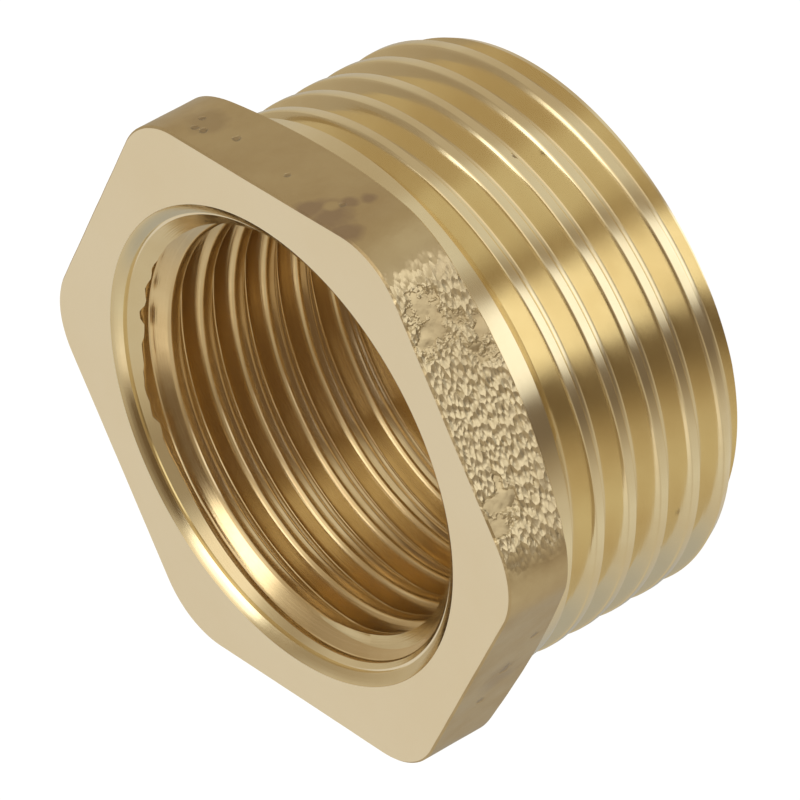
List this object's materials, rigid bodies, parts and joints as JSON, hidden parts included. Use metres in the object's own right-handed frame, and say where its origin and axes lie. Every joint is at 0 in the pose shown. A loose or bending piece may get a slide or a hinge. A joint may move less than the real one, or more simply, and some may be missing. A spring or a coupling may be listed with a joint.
{
  "type": "hex bushing",
  "caption": "Brass reducing hex bushing with a low hexagon head, a male pipe thread outside and a smaller female pipe thread through it.",
  "frame": {"origin": "on the axis, in the plane of the shank's end face, which the bushing stands on", "axes": "+Z along the axis from the male thread's end to the open face of the head; two flats of the hexagon face +Y and -Y"},
  "size_m": [0.03, 0.027, 0.0152],
  "materials": {
    "brass": "turned and threaded faces bright, open face of the head matt, hexagon sides as forged"
  },
  "bodies": {
    "root": {"hex_bushing": "brass"}
  },
  "joints": []
}
